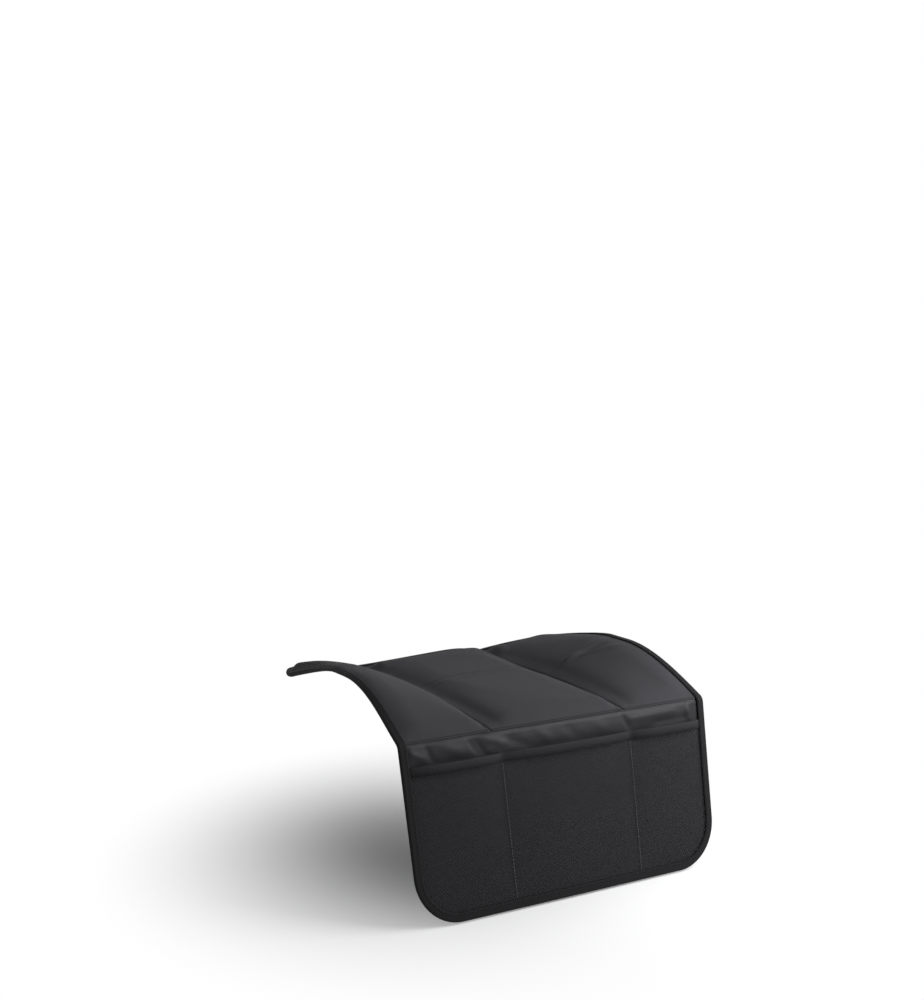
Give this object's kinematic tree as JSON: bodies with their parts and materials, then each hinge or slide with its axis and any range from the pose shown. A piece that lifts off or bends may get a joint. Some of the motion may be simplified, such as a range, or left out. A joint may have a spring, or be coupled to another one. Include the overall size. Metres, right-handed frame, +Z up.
{
  "type": "car seat protector mat",
  "caption": "Padded black mat draped over a car seat cushion, with stitched panels and a front flap that carries net pockets under a bound edge.",
  "frame": {"origin": "middle of the flat stretch of the underside that lies on the seat cushion", "axes": "+Z up, +Y towards the seat's back, -Y towards the flap, X across the mat"},
  "size_m": [0.458, 0.4298, 0.2684],
  "materials": {
    "pad_cloth": "charcoal woven cloth with a soft sheen",
    "backing_cloth": "matt black grippy cloth",
    "lining_cloth": "smooth black lining cloth",
    "net": "fine black see-through net",
    "tape": "ribbed black binding tape"
  },
  "bodies": {
    "root": {"seat_panel_left": "pad_cloth", "seat_panel_centre": "pad_cloth", "seat_panel_right": "pad_cloth", "non_slip_backing": "backing_cloth", "flap_panel": "lining_cloth", "pocket_net": "net", "pocket_tape": "tape", "edge_binding": "tape"}
  },
  "joints": []
}
